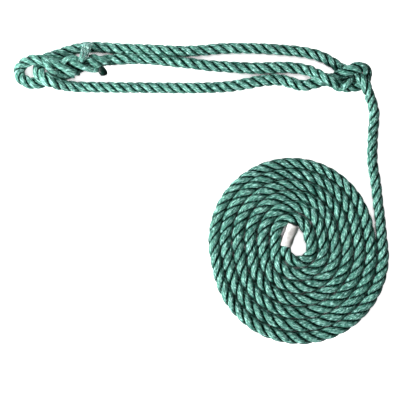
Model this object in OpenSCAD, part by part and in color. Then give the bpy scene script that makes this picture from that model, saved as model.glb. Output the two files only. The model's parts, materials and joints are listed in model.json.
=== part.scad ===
// Rope halter with its lead rope coiled flat on a table.
// +Z is up, the table is z = 0, X runs along the halter, lengths in mm.
// The halter lies on the far (+Y) side and the coil on the near (-Y) side.
// One three-strand rope is followed from the running loop (right, +X) through the
// noseband to the spliced eye (left), back along the headpiece, through the
// eye, along the chin line, through the running loop and down the lead.

/* [Rope] */
// Rope diameter over the three strands
rope_d = 12; // [11.4:0.1:12]
// Clearance left at each bending place, between a link's ball and the next flat end
bend_gap = 0.1; // [0.1:0.05:0.4]

/* [Halter] */
// Length of each long link of the noseband, headpiece and chin line
link_l = 80.5; // [72:0.5:96]
// Length of the noseband's middle link
nose_mid_l = 46; // [40:0.5:60]

/* [Lead] */
// Length of each short link at the start of the lead
lead_link_l = 16.7; // [15:0.1:18]

/* [Coil] */
// Radius of the outer half turn, to the rope's middle
coil_r = 95.6; // [95:0.1:97]
// How much the radius falls in one full turn
coil_pitch = 13.34; // [13.3:0.02:13.5]
// Distance between the middles of the near and far half turns
coil_stretch = 18.4; // [17.5:0.1:19]
// How far each turn shifts away from the near side, so the hole stays off centre
coil_drift = 1.28; // [1.1:0.02:1.28]
// Turn of the whole coil on the table, degrees
coil_tilt = 11; // [9:0.5:13]

/* [Bound end] */
// Length of the tape wrapped round the rope's end
tape_l = 21.9; // [18:0.1:22]
// Thickness of the wrapped tape
tape_wall = 0.55; // [0.3:0.05:0.6]

/* [Output] */
// Which piece to draw

/* [Hidden] */
$fn = 48;
rope_r = rope_d/2;
mid_z = rope_r;                // height of the rope's middle where it lies on the table
ball_r = 0.97*rope_r;
joint_cut = ball_r + bend_gap; // a link stops this far short of the next ball's centre
coil_gap = 0.1;                // gap between one half turn and the next

rope_green = [0.24, 0.52, 0.42];
rope_dark = [0.16, 0.40, 0.32];
burnt = [0.05, 0.10, 0.09];
paper = [0.93, 0.92, 0.88];

// bending places [x, y] of the three long lines, 1 at the running loop, 4 at the eye
nose_p1 = [114.5, 143.5];
nose_p2 = nose_p1 - [link_l, -1.5];
nose_p3 = nose_p2 - [nose_mid_l, -4.5];
nose_p4 = nose_p3 - [link_l, -4.5];

head_p1 = [112, 124];
head_p2 = head_p1 - [link_l, 0];
head_p4 = [nose_p4[0] - 46, 122];
head_p3 = head_p4 + [link_l, 0];

chin_p1 = [114.5, 164.5];
chin_p2 = chin_p1 - [link_l, 0];
chin_p4 = [nose_p4[0] - 34.5, 166.5];
chin_p3 = chin_p4 + [link_l, 0];

// bending places of the lead
lead_p1 = [198, 102];
lead_p2 = lead_p1 + [2, -lead_link_l];
lead_p3 = lead_p2 + [-1.4, -lead_link_l];
lead_p4 = lead_p3 + [-0.5, -lead_link_l];

// the eye's tables are drawn for a noseband that ends at x = -92.5
left_shift = [nose_p4[0] + 92.5, 0, 0];
// every piece moves by this, half as far as the left end moves the other way
centring = [-0.67, -0.25, 0] - left_shift/2;
eye_shift = centring + left_shift;

// coil: near and far half turns share one tilted frame
coil_at = [109.5, -62.4];
coil_start = coil_at + tilt([coil_pitch/4 + coil_r, -coil_stretch/2]);

// innermost turn, the seventh
inner_r = coil_r - 6*coil_pitch;
inner_at = coil_at + tilt([coil_pitch/4, -coil_stretch/2 + 6*coil_drift]);

// free end: straight from this angle on, taped from tape_start beyond it
tail_angle = 157.5;
tail_at = inner_at + inner_r*[cos(tail_angle), sin(tail_angle)];
tail_dir = [sin(tail_angle), -cos(tail_angle)];
tape_start = 0.5;
tape_bore_r = rope_r + 0.05;
// the free end is raised so that the tape just touches the table
tail_shift = centring + [0, 0, tape_bore_r - rope_r + tape_wall];

function tilt(p) = [p[0]*cos(coil_tilt) - p[1]*sin(coil_tilt),
                    p[0]*sin(coil_tilt) + p[1]*cos(coil_tilt)];
function unit(v) = v/norm(v);
function heading(v) = atan2(v[1], v[0]);
function wrap(angle) = angle - 360*floor(angle/360);

// ---- round links ---------------------------------------------------------
// centre of the circle through three points
function circle_centre(a, b, c) =
    let (d = 2*(a[0]*(b[1]-c[1]) + b[0]*(c[1]-a[1]) + c[0]*(a[1]-b[1])))
    [((a*a)*(b[1]-c[1]) + (b*b)*(c[1]-a[1]) + (c*c)*(a[1]-b[1]))/d,
     ((a*a)*(c[0]-b[0]) + (b*b)*(a[0]-c[0]) + (c*c)*(b[0]-a[0]))/d];

// ball whose poles lie along the heading of the rope that leaves it
module ball(at, angle)
    translate([at[0], at[1], mid_z]) rotate([0, 90, angle]) sphere(r = ball_r);

// part ring about the Z axis through the given centre
module arc(centre, radius, from, angle)
    translate([centre[0], centre[1], mid_z]) rotate([0, 0, from])
        rotate_extrude(angle = angle) translate([radius, 0]) circle(r = rope_r);

// straight round bar, cut short at its far end
module bar(start, end, cut = 0, radius = rope_r)
    translate([start[0], start[1], mid_z]) rotate([0, 0, heading(end - start)])
        rotate([0, 90, 0]) cylinder(r = radius, h = norm(end - start) - cut);

// link with a ball at its start, its middle bowed in Y, cut short at its end
module link(start, end, bow, cut = joint_cut) {
    middle = (start + end)/2 + [0, bow];
    centre = circle_centre(start, middle, end);
    radius = norm(start - centre);
    from = heading(start - centre);
    to = heading(end - centre);
    ccw = cross(middle - start, end - middle) > 0;
    cut_angle = cut/radius*180/PI;
    ball(start, from + (ccw ? 90 : -90));
    arc(centre, radius, ccw ? from : to + cut_angle,
        (ccw ? wrap(to - from) : wrap(from - to)) - cut_angle);
}

// straight link with a ball at its start
module straight_link(start, end, cut = joint_cut) {
    ball(start, heading(end - start));
    bar(start, end, cut);
}

// ---- swept pieces: stations are [x, y, z, half width, half height] --------
function catmull_rom(a, b, c, d, t) =
    0.5*(2*b + (c - a)*t + (2*a - 5*b + 4*c - d)*t*t + (3*b - a - 3*c + d)*t*t*t);

// smooth run of stations, with the given steps between neighbours
function curve(stations, steps) =
    let (n = len(stations),
         ext = concat([2*stations[0] - stations[1]], stations,
                      [2*stations[n-1] - stations[n-2]]))
    concat([for (i = [1:n-1]) for (j = [0:steps-1])
                catmull_rom(ext[i-1], ext[i], ext[i+1], ext[i+2], j/steps)],
           [stations[n-1]]);

function xyz(station) = [station[0], station[1], station[2]];
function tangent(path, i) =
    unit(xyz(path[min(i+1, len(path)-1)]) - xyz(path[max(i-1, 0)]));

// adds rings that close the start as a ball about the first station
function with_ball(path) =
    let (along = tangent(path, 0))
    concat([for (a = [78, 56, 36, 16])
                concat(xyz(path[0]) - along*ball_r*sin(a), [ball_r*cos(a), ball_r*cos(a)])],
           path);

module sweep(stations, steps, sides, ball_start = false) {
    base = curve(stations, steps);
    path = ball_start ? with_ball(base) : base;
    n = len(path);
    points = [for (i = [0:n-1])
        let (along = tangent(path, i),
             across = unit(cross([0, 0, 1], along)),
             up = cross(along, across))
        for (k = [0:sides-1])
            let (a = 360*k/sides)
            xyz(path[i]) + path[i][3]*cos(a)*across + path[i][4]*sin(a)*up];
    skin = [for (i = [0:n-2]) for (k = [0:sides-1])
        let (k2 = (k+1)%sides)
        each [[i*sides+k, (i+1)*sides+k, (i+1)*sides+k2],
              [i*sides+k, (i+1)*sides+k2, i*sides+k2]]];
    first_cap = [for (k = [0:sides-1]) k];
    last_cap = [for (k = [sides-1:-1:0]) (n-1)*sides + k];
    polyhedron(points = points, faces = concat([first_cap, last_cap], skin), convexity = 8);
}

// full-size rope along [x, y, z] places
module rope(places, ball_start = false)
    sweep([for (p = places) concat(p, [rope_r, rope_r])], 3, 14, ball_start);

// ---- running loop --------------------------------------------------------
// noseband leg crosses the headpiece leg, turns under and back over the lead
module running_loop() color(rope_green) translate(centring) rope([
    [nose_p1[0] + joint_cut, 142, 6], [128.5, 139.5, 9], [136.5, 136, 16],
    [144.5, 130.5, 18.6], [152.5, 124.2, 17], [161.5, 120.4, 9.2], [171, 119.2, 6.3],
    [180, 120, 6.2], [188, 125.6, 7.2], [191, 133, 12.5], [188.5, 140, 17.4],
    [182, 143.6, 19.2], [175, 142.8, 19.6], [168, 139.2, 19.2], [161, 135.2, 16.4],
    [152.5, 133.6, 8.6], [144.5, 130.6, 6.2], [135, 127.5, 6], [126, 125, 6],
    [head_p1[0] + joint_cut, 124.2, 6]]);

// end of the chin line, under the loop's far side and over its near side,
// then down to the lead's first ball
module lead_throat() color(rope_dark) translate(centring) rope([
    [chin_p1[0] + joint_cut, 163, 6], [129.5, 160, 6], [140, 156.5, 6], [150, 151.5, 6],
    [158, 146.6, 6], [165.5, 140.8, 6], [172, 134.2, 7.6], [177.8, 128.8, 15.2],
    [183, 123, 18.6], [188, 117, 17.3], [192, 111.6, 12.9],
    [lead_p1[0] - 2.74, lead_p1[1] + 4.41, 9]]);

// ---- noseband, headpiece and chin line -----------------------------------
module noseband_1() color(rope_green) translate(centring) link(nose_p1, nose_p2, -0.6);
module noseband_2() color(rope_green) translate(centring) link(nose_p2, nose_p3, 0.4);
module noseband_3() color(rope_green) translate(centring) link(nose_p3, nose_p4, -0.7);

module headpiece_1() color(rope_green) translate(centring) link(head_p1, head_p2, 4.6);
module headpiece_2() color(rope_green) translate(centring) link(head_p2, head_p3, -1.8);
module headpiece_3() color(rope_green) translate(centring) link(head_p3, head_p4, -0.5);

module chin_line_1() color(rope_green) translate(centring) link(chin_p1, chin_p2, 2);
module chin_line_2() color(rope_green) translate(centring) link(chin_p2, chin_p3, -2);
module chin_line_3() color(rope_green) translate(centring) link(chin_p3, chin_p4, 0.4);
module chin_line_end() color(rope_green) translate(centring)
    link(chin_p4, chin_p4 + [-32, -5.5], 1.65, cut = 0);

// ---- spliced eye ---------------------------------------------------------
// the rope end is tucked back into the noseband, which swells over the tucks
module eye_splice() color(rope_dark) translate(eye_shift) sweep([
    [-92.5, 154, 6, rope_r, rope_r], [-101.5, 153, 6, rope_r, rope_r],
    [-111, 151, 6.3, 6.4, 6.2], [-120, 149, 6.9, 7.6, 6.8],
    [-129.5, 146.5, 7.7, 9, 7.6], [-138.5, 144.5, 8.1, 10, 8],
    [-147.5, 142.5, 8.3, 10.6, 8.2], [-157.5, 142, 8.3, 10.4, 8]],
    steps = 3, sides = 16, ball_start = true);

module nose_eye() color(rope_green) translate(eye_shift) rope([
    [-161, 148, 8.5], [-164.5, 148.2, 10.6], [-168.5, 149, 15], [-175.5, 150.5, 18.3],
    [-183.5, 151.5, 18.6], [-191.5, 152, 17.5], [-199.5, 151, 12.8], [-206, 146.6, 8],
    [-208.8, 139.2, 6.1], [-205.5, 131.6, 6], [-196.5, 127, 6], [-185.5, 127, 6],
    [-175.5, 131, 6], [-168.5, 134, 6.3], [-161, 135.5, 7.4]]);

// headpiece turned up over the eye's near side, down through it and under its far side
module eye_bight() color(rope_green) translate(eye_shift) rope([
    [-138.5, 122, 6], [-150, 122.5, 7.5], [-161.5, 124, 13], [-172, 127.5, 18.3],
    [-179.5, 131.5, 18.6], [-185, 137, 15.5], [-186, 142, 9.8], [-184, 147.5, 6.3],
    [-180, 152.5, 6.1], [-174.5, 156.5, 6], [-168.5, 158.7, 6], [-160.6, 160.6, 6]],
    ball_start = true);

// the three strands of the rope end, each laid over the splice after its last tuck
module splice_strand_1() color(rope_green) translate(eye_shift) sweep([
    [-134.5, 152.4, 19.6, 3, 3], [-132, 160, 17.5, 3.2, 3],
    [-129, 168, 15.8, 3.8, 3], [-128, 171, 15.6, 4, 2.8]], steps = 4, sides = 12);
module splice_strand_2() color(rope_green) translate(eye_shift) sweep([
    [-142.5, 150.2, 18.8, 3, 3], [-150, 153, 17.6, 3.4, 3.2],
    [-157.5, 154, 16.7, 3.2, 3]], steps = 4, sides = 12);
module splice_strand_3() color(rope_green) translate(eye_shift) sweep([
    [-134, 144.5, 19.8, 3, 3], [-126, 144, 18.2, 3.2, 3],
    [-119, 143, 16.4, 3.2, 3], [-116, 142.6, 15.4, 3.2, 3]], steps = 4, sides = 12);

// the third strand's end is melted into a hard dark lump
module sealed_tip() color(burnt) translate(eye_shift) sweep([
    [-113.5, 141.8, 13.9, 3.4, 3.4], [-112, 139, 11, 4.3, 4.2],
    [-111, 135.8, 8.2, 3.2, 3.2]], steps = 5, sides = 12);

// ---- lead ----------------------------------------------------------------
module lead_1() color(rope_green) translate(centring) straight_link(lead_p1, lead_p2);
module lead_2() color(rope_green) translate(centring) straight_link(lead_p2, lead_p3);
module lead_3() color(rope_green) translate(centring) straight_link(lead_p3, lead_p4);
module lead_run() color(rope_green) translate(centring)
    straight_link(lead_p4, coil_start, cut = 0.8);

// ---- coil ----------------------------------------------------------------
// k counts half turns from the lead: even ones are the near side, odd the far side;
// each is an arc and the straight run that joins it to the next
module half_turn(k) {
    turn = floor(k/2);
    near = k % 2 == 0;
    side = near ? 1 : -1;
    radius = coil_r - coil_pitch*turn - (near ? 0 : coil_pitch/2);
    run = near ? coil_stretch : coil_stretch - coil_drift;
    translate([coil_at[0], coil_at[1], mid_z]) rotate([0, 0, coil_tilt])
        translate([side*coil_pitch/4, -side*coil_stretch/2 + coil_drift*turn, 0]) {
            rotate([0, 0, near ? 180 : 0])
                rotate_extrude(angle = 180 - coil_gap/radius*180/PI)
                    translate([radius, 0]) circle(r = rope_r);
            translate([-side*radius, 0, 0]) rotate([-side*90, 0, 0])
                cylinder(r = rope_r, h = run - coil_gap);
        }
}

module coil_01() color(rope_green) translate(centring) half_turn(0);
module coil_02() color(rope_dark) translate(centring) half_turn(1);
module coil_03() color(rope_green) translate(centring) half_turn(2);
module coil_04() color(rope_dark) translate(centring) half_turn(3);
module coil_05() color(rope_green) translate(centring) half_turn(4);
module coil_06() color(rope_dark) translate(centring) half_turn(5);
module coil_07() color(rope_green) translate(centring) half_turn(6);
module coil_08() color(rope_dark) translate(centring) half_turn(7);
module coil_09() color(rope_green) translate(centring) half_turn(8);
module coil_10() color(rope_dark) translate(centring) half_turn(9);
module coil_11() color(rope_green) translate(centring) half_turn(10);
module coil_12() color(rope_dark) translate(centring) half_turn(11);

// near quarter of the innermost turn, from the free end's ball to the half turn before
module coil_13() color(rope_green) translate(centring) {
    gap_angle = coil_gap/inner_r*180/PI;
    ball_angle = asin(joint_cut/inner_r);
    arc(inner_at, inner_r, 270 + ball_angle, 90 + coil_tilt - ball_angle - gap_angle);
}

// ---- free end ------------------------------------------------------------
module lead_tail() color(rope_dark) translate(tail_shift) {
    ball(inner_at - [0, inner_r], 180);
    arc(inner_at, inner_r, tail_angle, 270 - tail_angle);
    translate([inner_at[0], inner_at[1], mid_z]) rotate([0, 0, tail_angle])
        translate([inner_r, -tape_l, 0]) rotate([-90, 0, 0]) cylinder(r = rope_r, h = tape_l);
}

// bar over the tape's length, reaching past both ends by extra
module tape_bar(radius, extra = 0)
    bar(tail_at + (tape_start - extra)*tail_dir,
        tail_at + (tape_start + tape_l + extra)*tail_dir, radius = radius);

module whipping_tape() color(paper) translate(tail_shift) difference() {
    tape_bar(tape_bore_r + tape_wall);
    tape_bar(tape_bore_r, extra = 0.1);
}

running_loop();
lead_throat();
noseband_1();
noseband_2();
noseband_3();
headpiece_1();
headpiece_2();
headpiece_3();
chin_line_1();
chin_line_2();
chin_line_3();
chin_line_end();
eye_splice();
nose_eye();
eye_bight();
splice_strand_1();
splice_strand_2();
splice_strand_3();
sealed_tip();
lead_1();
lead_2();
lead_3();
lead_run();
coil_01();
coil_02();
coil_03();
coil_04();
coil_05();
coil_06();
coil_07();
coil_08();
coil_09();
coil_10();
coil_11();
coil_12();
coil_13();
lead_tail();
whipping_tape();
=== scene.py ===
"""Rope halter with its lead coiled flat, lying on the floor at z = 0.

The noseband, headpiece and chin line run along x at y = 120 to 170 mm, between the spliced
eye at the -x end and the running loop at the +x end. The lead leaves the loop toward -y and
ends in a coil round (109, -63) mm. The rope is three laid strands along one continuous
centre line, cut into pieces; some ride on the CAD bodies and the others lie between them.
Everything is in millimetres until a mesh is made.
"""
import json
import math
import bpy
import numpy as np
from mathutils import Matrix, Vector


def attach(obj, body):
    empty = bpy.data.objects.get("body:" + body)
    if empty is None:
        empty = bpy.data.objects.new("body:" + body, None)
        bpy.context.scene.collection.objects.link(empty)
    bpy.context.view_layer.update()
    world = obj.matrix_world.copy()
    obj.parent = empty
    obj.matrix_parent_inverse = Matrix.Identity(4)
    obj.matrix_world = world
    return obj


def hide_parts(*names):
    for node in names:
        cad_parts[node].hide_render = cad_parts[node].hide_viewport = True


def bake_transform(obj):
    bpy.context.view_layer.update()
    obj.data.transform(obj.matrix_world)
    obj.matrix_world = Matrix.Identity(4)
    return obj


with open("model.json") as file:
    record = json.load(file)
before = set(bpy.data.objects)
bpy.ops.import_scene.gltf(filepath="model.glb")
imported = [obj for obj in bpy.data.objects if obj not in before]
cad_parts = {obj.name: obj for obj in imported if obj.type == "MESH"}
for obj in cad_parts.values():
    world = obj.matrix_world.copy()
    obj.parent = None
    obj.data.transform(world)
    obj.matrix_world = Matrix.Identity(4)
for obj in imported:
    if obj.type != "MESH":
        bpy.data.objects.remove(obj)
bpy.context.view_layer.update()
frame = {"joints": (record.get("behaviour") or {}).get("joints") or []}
HINGE = {joint["name"]: np.array(joint["pos_m"], float) * 1000.0
         for joint in frame["joints"] if joint["type"] == "hinge"}

ROPE_R = 6.1        # over the strands
LIE_Z = 6.0         # height of the centre line where the rope lies on the floor
RING_STEP = 1.4     # distance between rings
FLOOR_GAP = 0.02    # least height of the rope's surface

# ------------------------------------------------------------------ centre line tables
# each row is (x, y, z)

# the eye: from the tucked end round to the splice
EYE = [
    (-146.1, 138.8, 7.6), (-155.2, 137.4, 7.4), (-162.1, 135.4, 7.0), (-169.0, 134.2, 6.4),
    (-175.9, 130.9, 6.1), (-186.3, 126.9, 6.0), (-196.6, 126.7, 6.0), (-205.5, 130.9, 6.1),
    (-209.4, 138.6, 6.4), (-206.3, 145.9, 8.4), (-198.9, 150.6, 12.6), (-190.9, 152.1, 16.0),
    (-182.8, 151.5, 17.0), (-174.8, 149.8, 15.6), (-166.7, 148.1, 11.6), (-159.8, 146.8, 8.8),
    (-150.6, 145.8, 7.4), (-139.1, 146.6, 6.9), (-127.6, 149.3, 6.5), (-116.1, 151.7, 6.2)]
# the noseband, from the splice to the running loop
NOSEBAND = [
    (-104.6, 153.1, 6), (-93.2, 153.8, 6), (-81.0, 154.3, 6), (-70.1, 154.5, 6),
    (-49.4, 153.3, 6), (-31.0, 151.1, 6), (-12.6, 149.2, 6), (5.8, 146.9, 6), (24.2, 145.5, 6),
    (42.6, 144.4, 6), (61.0, 143.6, 6), (79.4, 144.1, 6), (91, 144.6, 6), (102.4, 144.4, 6),
    (116.2, 142.7, 6.2)]
LOOP = [
    (125.4, 140.1, 8.6), (134.6, 135.1, 13.4), (142.0, 130.9, 16.4), (149.5, 126.7, 16.0),
    (156.4, 123.6, 12.6), (163.3, 122.2, 8.4), (171.4, 122.1, 6.3), (179.4, 123.3, 6.1),
    (185.5, 126.3, 6.3), (189.3, 131.2, 7.4), (189.8, 137.2, 11.6), (186.5, 142.0, 15.8),
    (180.6, 143.6, 17.6), (173.7, 142.0, 17.8), (166.8, 138.9, 16.2), (159.9, 135.8, 11.8),
    (153.0, 132.8, 7.6), (144.3, 129.6, 6.1), (134.6, 127.3, 6.1), (125.4, 125.0, 6)]
# the headpiece, from the running loop back to the eye
HEADPIECE = [
    (117.3, 123.6, 6), (108.1, 125.6, 6), (97.8, 128.8, 6), (86.3, 130.5, 6), (70.2, 129.1, 6),
    (51.8, 125.7, 6), (33.4, 122.7, 6), (15.0, 121.4, 6), (-1.1, 121.0, 6), (-12.6, 120.8, 6),
    (-35.6, 121.0, 6), (-58.6, 121.2, 6), (-81.6, 121.4, 6), (-104.6, 121.5, 6),
    (-120.7, 121.7, 6), (-132.2, 121.9, 6), (-141.4, 122.1, 6.1), (-150.6, 122.8, 6.9),
    (-160.9, 124.3, 10.4), (-170.7, 127.1, 15.4), (-178.8, 131.2, 17.0), (-184.5, 136.4, 14.2),
    (-186.4, 141.6, 9.4), (-184.9, 146.4, 6.5), (-181.4, 151.2, 6.1)]
# the chin line, from the eye to the running loop
CHIN_LINE = [
    (-175.6, 155.7, 6), (-169.0, 157.8, 6), (-159.8, 160.9, 6), (-148.3, 164.4, 6),
    (-134.0, 166.9, 6), (-118.4, 166.7, 6), (-104.6, 166.1, 6), (-86.2, 165.7, 6),
    (-67.8, 165.2, 6), (-49.4, 164.4, 6), (-31.0, 163.5, 6), (-12.6, 163.4, 6), (5.8, 164.5, 6),
    (19.6, 165.9, 6), (33.4, 166.5, 6), (47.2, 166.6, 6), (61.0, 166.4, 6), (74.8, 165.8, 6),
    (88.6, 164.9, 6), (107.0, 163.6, 6), (116.2, 162.3, 6), (125.4, 160.6, 6),
    (136.9, 157.4, 6), (148.4, 151.8, 6), (156.4, 146.3, 6.1)]
# the lead's throat and its run to the coil
LEAD = [
    (163.3, 142.3, 6.1), (171.0, 138.9, 6.2), (177.6, 135.3, 8.2), (182.6, 131.3, 12.6),
    (186.2, 126.6, 16.6), (188.6, 121.6, 17.4), (190.5, 117.0, 15.4), (192.5, 112.6, 11.4),
    (194.8, 108.2, 8.0), (196.7, 103.6, 6.3), (198.0, 99.0, 6), (199.0, 94.4, 6),
    (199.2, 85.2, 6), (198.5, 76.0, 6), (197.7, 66.8, 6), (197.3, 57.6, 6), (197.1, 48.4, 6),
    (197.1, 39.2, 6), (197.8, 30.0, 6), (199.5, 20.8, 6), (201.1, 11.6, 6), (202.2, 2.4, 6),
    (203.1, -6.8, 6), (204.1, -16.0, 6), (205.5, -25.2, 6), (206.5, -34.4, 6),
    (207.2, -43.6, 6)]

# the coil: half turns about two centres, in one tilted frame
COIL_R = 95.6           # outermost half turn
COIL_PITCH = 13.34      # from one turn to the next inward
COIL_STRAIGHT = 18.4    # between the two centres
COIL_DRIFT = 1.28       # shift of the centres per turn
COIL_TILT = 11          # degrees
COIL_AT = np.array([108.83, -62.65])
HALF_TURNS = 12
TAIL_ANGLE = 157.5      # degrees round the innermost turn, where the straight tail leaves it
TAIL_LENGTH = 22.4
TAIL_RISE = 0.6
TAIL_POINTS = 20


# ------------------------------------------------------------------ curves and frames
def spline(points, steps=14):
    """Catmull-Rom curve through the points."""
    points = np.array(points, float)
    padded = np.vstack([2 * points[0] - points[1], points, 2 * points[-1] - points[-2]])
    curve = []
    for i in range(1, len(padded) - 2):
        p0, p1, p2, p3 = padded[i - 1:i + 3]
        for j in range(steps):
            t = j / steps
            curve.append(0.5 * (2 * p1 + (p2 - p0) * t + (2 * p0 - 5 * p1 + 4 * p2 - p3) * t * t
                                + (3 * p1 - p0 - 3 * p2 + p3) * t ** 3))
    curve.append(points[-1])
    return np.array(curve)


def arc_length(points):
    return np.r_[0, np.cumsum(np.linalg.norm(np.diff(points, axis=0), axis=1))]


def resample(points, step):
    """The same line with evenly spaced points, about a step apart."""
    length = arc_length(points)
    even = np.linspace(0, length[-1], int(round(length[-1] / step)) + 1)
    return np.array([np.interp(even, length, points[:, i]) for i in range(3)]).T


def spaced_spline(points, step):
    """Evenly spaced curve through the points, and the distance along it."""
    line = resample(spline(points), step)
    return line, arc_length(line)


def running_mean(values, reach):
    """Mean over `reach` values each way; the ends stay."""
    window = 2 * reach + 1
    out = values.copy()
    out[reach:-reach] = np.convolve(values, np.ones(window) / window, mode="valid")
    return out


def tangents(points):
    tangent = np.gradient(points, axis=0)
    return tangent / np.linalg.norm(tangent, axis=1)[:, None]


def steady_frames(points):
    """Normals and binormals that don't twist along the line."""
    tangent = tangents(points)
    normal = np.zeros_like(tangent)
    first = np.cross([0, 0, 1.0], tangent[0])
    normal[0] = first / np.linalg.norm(first)
    for i in range(1, len(tangent)):
        turned = normal[i - 1] - tangent[i] * (normal[i - 1] @ tangent[i])
        normal[i] = turned / np.linalg.norm(turned)
    return normal, np.cross(tangent, normal)


def level_frames(points):
    """Level normals, and binormals that point up."""
    tangent = tangents(points)
    normal = np.cross([0, 0, 1.0], tangent)
    normal /= np.linalg.norm(normal, axis=1)[:, None]
    return normal, np.cross(tangent, normal)


def on_circle(centre, radius, degrees):
    angle = np.radians(degrees)
    return np.array([centre[0] + radius * np.cos(angle), centre[1] + radius * np.sin(angle)]).T


def arc(centre, radius, start, end):
    """Points about 1 mm apart on an arc between two angles in degrees."""
    count = max(3, int(abs(end - start) * math.pi / 180 * radius))
    return on_circle(centre, radius, np.linspace(start, end, count))


# ------------------------------------------------------------------ centre line
def coil_point(point):
    """A point of the coil's own frame, placed in the halter's."""
    cos, sin = math.cos(math.radians(COIL_TILT)), math.sin(math.radians(COIL_TILT))
    x, y = point
    return COIL_AT + np.array([x * cos - y * sin, x * sin + y * cos])


def half_turn(k):
    """Centre in the coil's frame, and radius, of half turn k counted inward."""
    turn = k // 2
    radius = COIL_R - COIL_PITCH * turn
    drift = COIL_DRIFT * turn
    if k % 2 == 0:
        return np.array([COIL_PITCH / 4, -COIL_STRAIGHT / 2 + drift]), radius
    return np.array([-COIL_PITCH / 4, COIL_STRAIGHT / 2 + drift]), radius - COIL_PITCH / 2


coil_flat, coil_mids = [], []
for k in range(HALF_TURNS):
    centre, radius = half_turn(k)
    start = 0 if k % 2 == 0 else 180
    coil_flat.append(np.array([coil_point(p) for p in arc(centre, radius, start, start - 180)]))
    coil_mids.append(coil_point(centre + radius * np.array([0, -1.0 if k % 2 == 0 else 1.0])))
centre, inner_r = half_turn(HALF_TURNS)
inner_at = coil_point(centre)
inner_arc = arc(inner_at, inner_r, COIL_TILT, -(360 - TAIL_ANGLE))
tail_way = np.array([math.sin(math.radians(TAIL_ANGLE)), -math.cos(math.radians(TAIL_ANGLE))])
tail = [inner_arc[-1] + tail_way * t for t in np.linspace(1, TAIL_LENGTH - 0.5, TAIL_POINTS)]
coil_flat = np.vstack(coil_flat + [inner_arc, np.array(tail)])
coil_z = np.full(len(coil_flat), LIE_Z)
inner_count = len(inner_arc) + TAIL_POINTS
coil_z[-inner_count:] = LIE_Z + TAIL_RISE * np.clip(np.linspace(-0.6, 2.0, inner_count), 0, 1)
coil = np.c_[coil_flat, coil_z]
raw = np.vstack([spline(EYE + NOSEBAND + LOOP + HEADPIECE + CHIN_LINE + LEAD), coil[1:]])

# the innermost turns lie pushed in against the taped end
from_heart = raw[:, :2] - np.array([103.5, -51.7])
heart_dist = np.linalg.norm(from_heart, axis=1)
heading = np.arctan2(from_heart[:, 1], from_heart[:, 0])


def push_in(depth, degrees, sharpness, limit, fade_out, fade_in, core=14):
    """Push strongest toward one heading, none inside the core or beyond the limit."""
    lobe = np.maximum(0, np.cos(heading - math.radians(degrees))) ** sharpness
    return depth * (lobe * np.clip((limit - heart_dist) / fade_out, 0, 1)
                    * np.clip((heart_dist - core) / fade_in, 0, 1))


push = (push_in(5.6, degrees=158, sharpness=1.4, limit=75, fade_out=52, fade_in=6)
        + push_in(2.6, degrees=60, sharpness=4, limit=38, fade_out=14, fade_in=5))
raw[:, :2] -= from_heart / heart_dist[:, None] * push[:, None]
# the chin line bows toward +y beside the splice
bow = 1.1 * np.exp(-((raw[:, 0] + 116) / 20) ** 2)
raw[:, 1] += bow * ((raw[:, 1] > 159.5) & (raw[:, 1] < 175))

fine = resample(raw, 0.7)
path = resample(np.array([running_mean(column, 4) for column in fine.T]).T, RING_STEP)
dist = arc_length(path)
path_frames = steady_frames(path)


def nearest_ring(point, first=0.0, last=1e9):
    """Ring nearest to a point in plan, among rings whose distance along is in a range."""
    gap = np.linalg.norm(path[:, :2] - np.array(point)[:2], axis=1)
    return int((gap + np.where((dist < first) | (dist > last), 1e6, 0)).argmin())


# ------------------------------------------------------------------ strands
YARNS = 14              # round one strand
YARN_POINTS = 3         # round one yarn, the first in the groove beside it
STRAND_POINTS = YARNS * YARN_POINTS
YARN_OF = np.arange(STRAND_POINTS) // YARN_POINTS
IN_YARN = np.arange(STRAND_POINTS) % YARN_POINTS
STRAND_MIDDLE = 0.5     # from the rope's middle, in rope radii


def strand_section(shoulder=0.32, belly=0.09, half_angle=58.0):
    """A strand's outline in a rope of radius 1: angles, and distances from its own middle."""
    t = np.linspace(-1, 1, 241)
    radius = 1 - belly * t ** 2 - shoulder * t ** 4
    side = np.radians(half_angle)
    outer = np.c_[radius * np.cos(side * t), radius * np.sin(side * t)]
    inward = np.linspace(radius[-1], 0.07, 40)[1:]
    upper = np.c_[inward * np.cos(side), inward * np.sin(side)]
    lower = (upper * [1, -1])[::-1]
    outline = np.vstack([lower, outer, upper]) - [STRAND_MIDDLE, 0]
    angle = np.arctan2(outline[:, 1], outline[:, 0])
    order = np.argsort(angle)
    reach = np.hypot(outline[:, 0], outline[:, 1])[order]
    even = np.linspace(-np.pi, np.pi, 721)
    reach = np.interp(even, angle[order], reach, period=2 * np.pi)
    soft = np.hanning(15)
    soft /= soft.sum()
    return even, np.convolve(np.r_[reach[-8:-1], reach, reach[1:8]], soft, mode="valid")


SECTION_ANGLE, SECTION_REACH = strand_section()


def smooth_noise(count, scale, seed):
    """Smooth random series, about -1 to 1."""
    knots = max(4, int(count / scale) + 4)
    value = np.random.default_rng(seed).uniform(-1, 1, knots)
    x = np.linspace(0, knots - 1.001, count)
    i = x.astype(int)
    f = x - i
    f = f * f * (3 - 2 * f)
    return value[i] * (1 - f) + value[np.minimum(i + 1, knots - 1)] * f


def ring_angles(count):
    return np.linspace(0, 2 * np.pi, count, endpoint=False)


def superellipse(angle, power):
    return (np.abs(np.cos(angle)) ** power + np.abs(np.sin(angle)) ** power) ** (-1 / power)


def yarn_ridges(rng, ridge, crest):
    """Height of each point round a strand: grooves at -1, yarns at the crest, times ridge."""
    depth = ridge * (1 + 0.35 * rng.uniform(-1, 1, YARNS))
    return np.array([-1.0, crest, crest])[IN_YARN] * depth[YARN_OF]


def yarn_wobble(size, count, scale, seed):
    """Slow swelling along each yarn; the grooves stay."""
    wobble = [size * smooth_noise(count, scale, seed + y) for y in range(YARNS)]
    return np.repeat(wobble, YARN_POINTS, axis=0).T * (IN_YARN != 0)


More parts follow.
